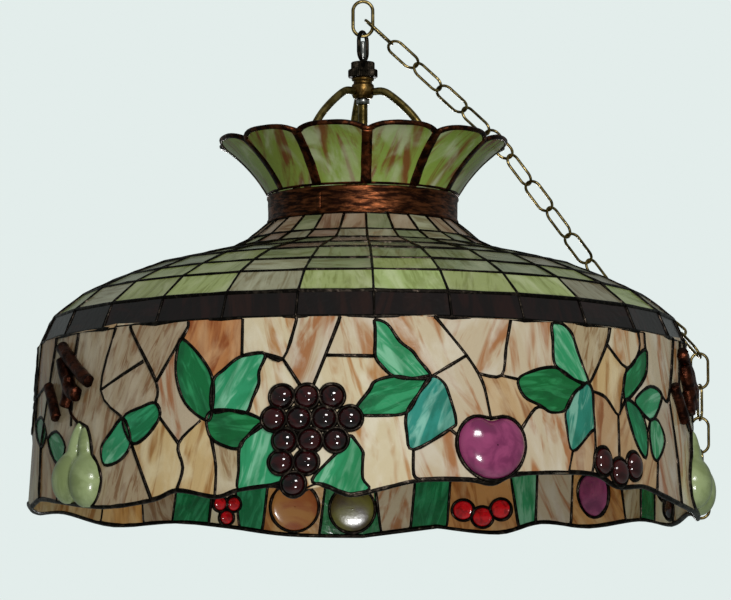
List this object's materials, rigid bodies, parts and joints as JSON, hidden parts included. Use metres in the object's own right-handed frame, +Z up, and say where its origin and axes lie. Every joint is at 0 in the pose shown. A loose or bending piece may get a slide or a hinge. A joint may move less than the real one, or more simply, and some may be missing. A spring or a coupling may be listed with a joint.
{
  "type": "pool table lamp",
  "caption": "Hanging leaded-glass lamp: flared crown, copper collar, tiled shoulder, dark border and straight skirt with fruit in relief, on a loop and chain.",
  "frame": {"origin": "the point that the lamp hangs from: inside the top bend of the hook link, on the lamp's vertical axis", "axes": "+Z up along the stem; -Y is the front, with the bunch of grapes and the apple; +X is to the right, where the chain hangs"},
  "size_m": [0.6985, 0.6958, 0.539],
  "materials": {
    "brass": "aged brass, brown in the recesses",
    "iron": "blackened iron",
    "steel": "dull nickel plate",
    "copper_foil": "solder over copper foil, copper patina",
    "copper_band": "brown copper patina with bright rubbed streaks",
    "solder": "dark patinated solder",
    "crown_glass": "green and cream slag glass",
    "shoulder_glass": "pale green and cream slag glass",
    "border_glass": "dark red-brown rippled glass",
    "skirt_glass": "cream, caramel and green slag glass",
    "grape_glass": "pressed dark red glass",
    "apple_glass": "moulded plum slag glass",
    "pear_glass": "moulded pale green slag glass",
    "peach_glass": "moulded amber slag glass",
    "fig_glass": "moulded olive slag glass",
    "date_glass": "pressed dark brown glass",
    "berry_glass": "pressed red glass",
    "porcelain": "glazed porcelain",
    "bulb_glass": "white-coated bulb glass"
  },
  "bodies": {
    "hook": {"hook_link": "brass"},
    "tail": {"chain_tail": "brass"},
    "key_1": {"turn_key_1": "iron"},
    "key_2": {"turn_key_2": "iron"},
    "key_3": {"turn_key_3": "iron"},
    "shade": {"crown_petal_01": "crown_glass", "crown_petal_02": "crown_glass", "crown_petal_03": "crown_glass", "crown_petal_04": "crown_glass", "crown_petal_05": "crown_glass", "crown_petal_06": "crown_glass", "crown_petal_07": "crown_glass", "crown_petal_08": "crown_glass", "crown_petal_09": "crown_glass", "crown_petal_10": "crown_glass", "crown_petal_11": "crown_glass", "crown_petal_12": "crown_glass", "crown_frame": "copper_foil", "collar_band": "copper_band", "shoulder_glass_1": "shoulder_glass", "shoulder_glass_2": "shoulder_glass", "shoulder_glass_3": "shoulder_glass", "shoulder_glass_4": "shoulder_glass", "border_band": "border_glass", "skirt_glass_1": "skirt_glass", "skirt_glass_2": "skirt_glass", "skirt_glass_3": "skirt_glass", "skirt_glass_4": "skirt_glass", "skirt_glass_5": "skirt_glass", "skirt_glass_6": "skirt_glass", "rim_bead": "solder", "grapes_front": "grape_glass", "grapes_back": "grape_glass", "apple_front": "apple_glass", "apple_back": "apple_glass", "pears_left": "pear_glass", "pears_right": "pear_glass", "dates": "date_glass", "cherries": "berry_glass", "raspberries": "berry_glass", "peach": "peach_glass", "fig": "fig_glass", "hub": "brass", "check_ring": "steel", "knurled_nut": "iron", "arm_1": "brass", "arm_2": "brass", "arm_3": "brass", "spider_ring": "brass", "stem_pipe": "brass", "hanging_loop": "iron", "loop_sleeve": "steel", "chain_swag": "brass", "cluster_body": "brass", "socket_1": "porcelain", "bulb_1": "bulb_glass", "socket_2": "porcelain", "bulb_2": "bulb_glass", "socket_3": "porcelain", "bulb_3": "bulb_glass"}
  },
  "joints": [
    {"name": "lamp_swing", "type": "hinge", "parent": "hook", "child": "shade", "pos_m": [0, 0, -0.0346], "axis": [1, 0, 0], "range_deg": [-12, 12]},
    {"name": "chain_tail_swing", "type": "hinge", "parent": "shade", "child": "tail", "pos_m": [0.34739, 0.04265, -0.3933], "axis": [0.9925, 0.1219, 0], "range_deg": [-12, 12]},
    {"name": "key_turn_1", "type": "hinge", "parent": "shade", "child": "key_1", "pos_m": [0.02464, -0.04268, -0.27801], "axis": [0.2113, -0.366, 0.9063], "continuous": true},
    {"name": "key_turn_2", "type": "hinge", "parent": "shade", "child": "key_2", "pos_m": [0.02464, 0.04268, -0.27801], "axis": [0.2113, 0.366, 0.9063], "continuous": true},
    {"name": "key_turn_3", "type": "hinge", "parent": "shade", "child": "key_3", "pos_m": [-0.04929, 0, -0.27801], "axis": [-0.4226, 0, 0.9063], "continuous": true}
  ]
}
